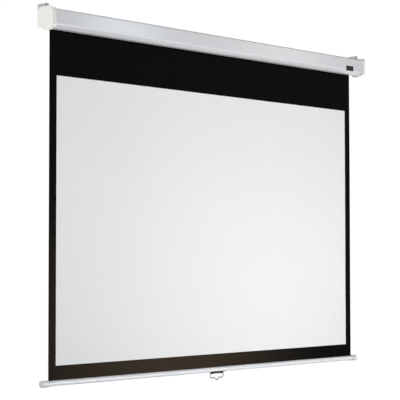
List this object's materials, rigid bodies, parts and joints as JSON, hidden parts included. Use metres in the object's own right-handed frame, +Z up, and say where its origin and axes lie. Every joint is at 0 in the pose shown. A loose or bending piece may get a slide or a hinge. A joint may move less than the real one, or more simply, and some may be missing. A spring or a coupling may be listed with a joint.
{
  "type": "pull down projector screen",
  "caption": "Manual pull down projector screen: a slim casing with hanging brackets, a spring roller with a self-locking ratchet, black-bordered cloth, and a weight bar with a wire pull handle.",
  "frame": {"origin": "middle of the casing's back face, which lies against the wall", "axes": "+X along the casing to its right end, +Y into the wall, +Z up; the screen faces -Y"},
  "size_m": [2.202, 0.1048, 1.699],
  "materials": {
    "casing_paint": "smooth satin gloss white paint",
    "cap_plastic": "satin warm white moulding",
    "zinc_steel": "zinc plated sheet",
    "screw_steel": "bright zinc plated",
    "roller_aluminium": "mill finish extrusion",
    "nylon": "natural nylon",
    "dark_steel": "oiled dark steel",
    "spring_steel": "oiled spring steel",
    "cloth_black": "matt black coated cloth",
    "cloth_white": "matt white coating",
    "bar_paint": "smooth white paint",
    "bar_cap_plastic": "smooth white moulding",
    "black_steel": "dark painted sheet",
    "handle_wire": "plated bright wire"
  },
  "bodies": {
    "case": {"casing": "casing_paint", "end_cap_left": "cap_plastic", "end_cap_right": "cap_plastic", "hanger_left": "zinc_steel", "hanger_right": "zinc_steel", "hanger_screw_left_front": "screw_steel", "hanger_screw_left_rear": "screw_steel", "hanger_screw_right_front": "screw_steel", "hanger_screw_right_rear": "screw_steel", "roller_bracket_left": "zinc_steel", "roller_bracket_right": "zinc_steel", "bracket_screw_left_front": "screw_steel", "bracket_screw_left_rear": "screw_steel", "bracket_screw_right_front": "screw_steel", "bracket_screw_right_rear": "screw_steel", "idle_bush": "nylon", "spring_shaft": "spring_steel", "spring_anchor": "dark_steel", "torsion_spring": "spring_steel", "ratchet_wheel": "dark_steel", "screen_cloth": "cloth_black", "viewing_surface": "cloth_white"},
    "roller": {"roller_tube": "roller_aluminium", "cloth_strip": "nylon", "wound_turns": "cloth_black", "spring_end_plug": "nylon", "idle_end_plug": "nylon", "idle_pin": "screw_steel", "shaft_guide": "nylon", "pawl_pin_upper": "screw_steel", "pawl_pin_lower": "screw_steel"},
    "upper_pawl": {"pawl_upper": "dark_steel"},
    "lower_pawl": {"pawl_lower": "dark_steel"},
    "weight_bar": {"bar_tube": "bar_paint", "bar_cap_left": "bar_cap_plastic", "bar_cap_right": "bar_cap_plastic", "hem_rod": "nylon", "ballast_rod": "spring_steel", "handle_saddle": "black_steel", "saddle_screw_left": "screw_steel", "saddle_screw_right": "screw_steel"},
    "handle": {"pull_handle": "handle_wire"}
  },
  "joints": [
    {"name": "bar_lift", "type": "slide", "parent": "case", "child": "weight_bar", "axis": [0, 0, 1], "range_m": [0, 1.513], "deforming": ["screen_cloth", "viewing_surface"]},
    {"name": "roller_spin", "type": "hinge", "parent": "case", "child": "roller", "pos_m": [0, -0.052, 0], "axis": [1, 0, 0], "range_deg": [0, 3420.1]},
    {"name": "pawl_upper_swing", "type": "hinge", "parent": "roller", "child": "upper_pawl", "pos_m": [-1.0651, -0.03555, 0.0095], "axis": [1, 0, 0], "range_deg": [0, 20]},
    {"name": "pawl_lower_swing", "type": "hinge", "parent": "roller", "child": "lower_pawl", "pos_m": [-1.0651, -0.06846, -0.0095], "axis": [1, 0, 0], "range_deg": [0, 20]},
    {"name": "handle_swing", "type": "hinge", "parent": "weight_bar", "child": "handle", "pos_m": [0, -0.0283, -1.5956], "axis": [1, 0, 0], "range_deg": [-90, 90]}
  ],
  "couplings": [
    {"joint": "roller_spin", "follows": "bar_lift", "rad_per_m": 39.452}
  ]
}
